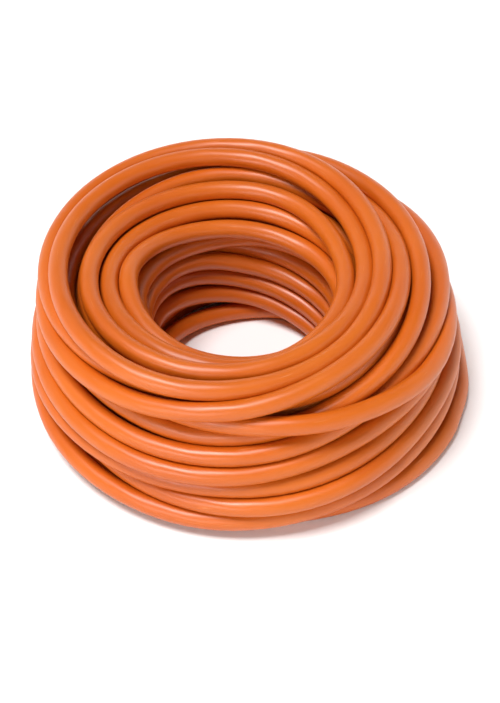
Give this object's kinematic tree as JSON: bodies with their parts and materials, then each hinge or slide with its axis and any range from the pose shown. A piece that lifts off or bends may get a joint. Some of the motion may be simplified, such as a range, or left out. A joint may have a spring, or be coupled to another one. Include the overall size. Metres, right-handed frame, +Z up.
{
  "type": "extension cord",
  "caption": "Round three-core orange extension cord wound into a tight ring coil, with a moulded earthed plug and connector brought out behind it",
  "frame": {"origin": "middle of the footprint's bounding box, on the floor that the coil lies on", "axes": "+Z up along the coil's axis; +X to the right and -Y towards the picture's viewer; plug and connector lie on the +Y side"},
  "size_m": [0.2204, 0.2608, 0.0824],
  "materials": {
    "sheath": "satin orange flexible PVC-rubber jacket",
    "overmould": "fine matte black moulded thermoplastic rubber",
    "nylon": "dark grey glass-filled nylon",
    "brass": "stamped and tumbled bright brass",
    "line_insulation": "black PVC core insulation",
    "neutral_insulation": "white PVC core insulation",
    "earth_insulation": "green PVC core insulation"
  },
  "bodies": {
    "root": {"coil_winding": "sheath", "coil_core": "sheath", "plug_tail": "sheath", "connector_tail": "sheath", "plug_overmould": "overmould", "plug_strain_relief": "overmould", "connector_overmould": "overmould", "connector_strain_relief": "overmould", "plug_blade_carrier": "nylon", "connector_contact_housing": "nylon", "plug_line_blade": "brass", "plug_neutral_blade": "brass", "plug_earth_pin": "brass", "connector_line_contact": "brass", "connector_neutral_contact": "brass", "connector_earth_contact": "brass", "plug_line_core": "line_insulation", "plug_neutral_core": "neutral_insulation", "plug_earth_core": "earth_insulation", "connector_line_core": "line_insulation", "connector_neutral_core": "neutral_insulation", "connector_earth_core": "earth_insulation"}
  },
  "joints": []
}
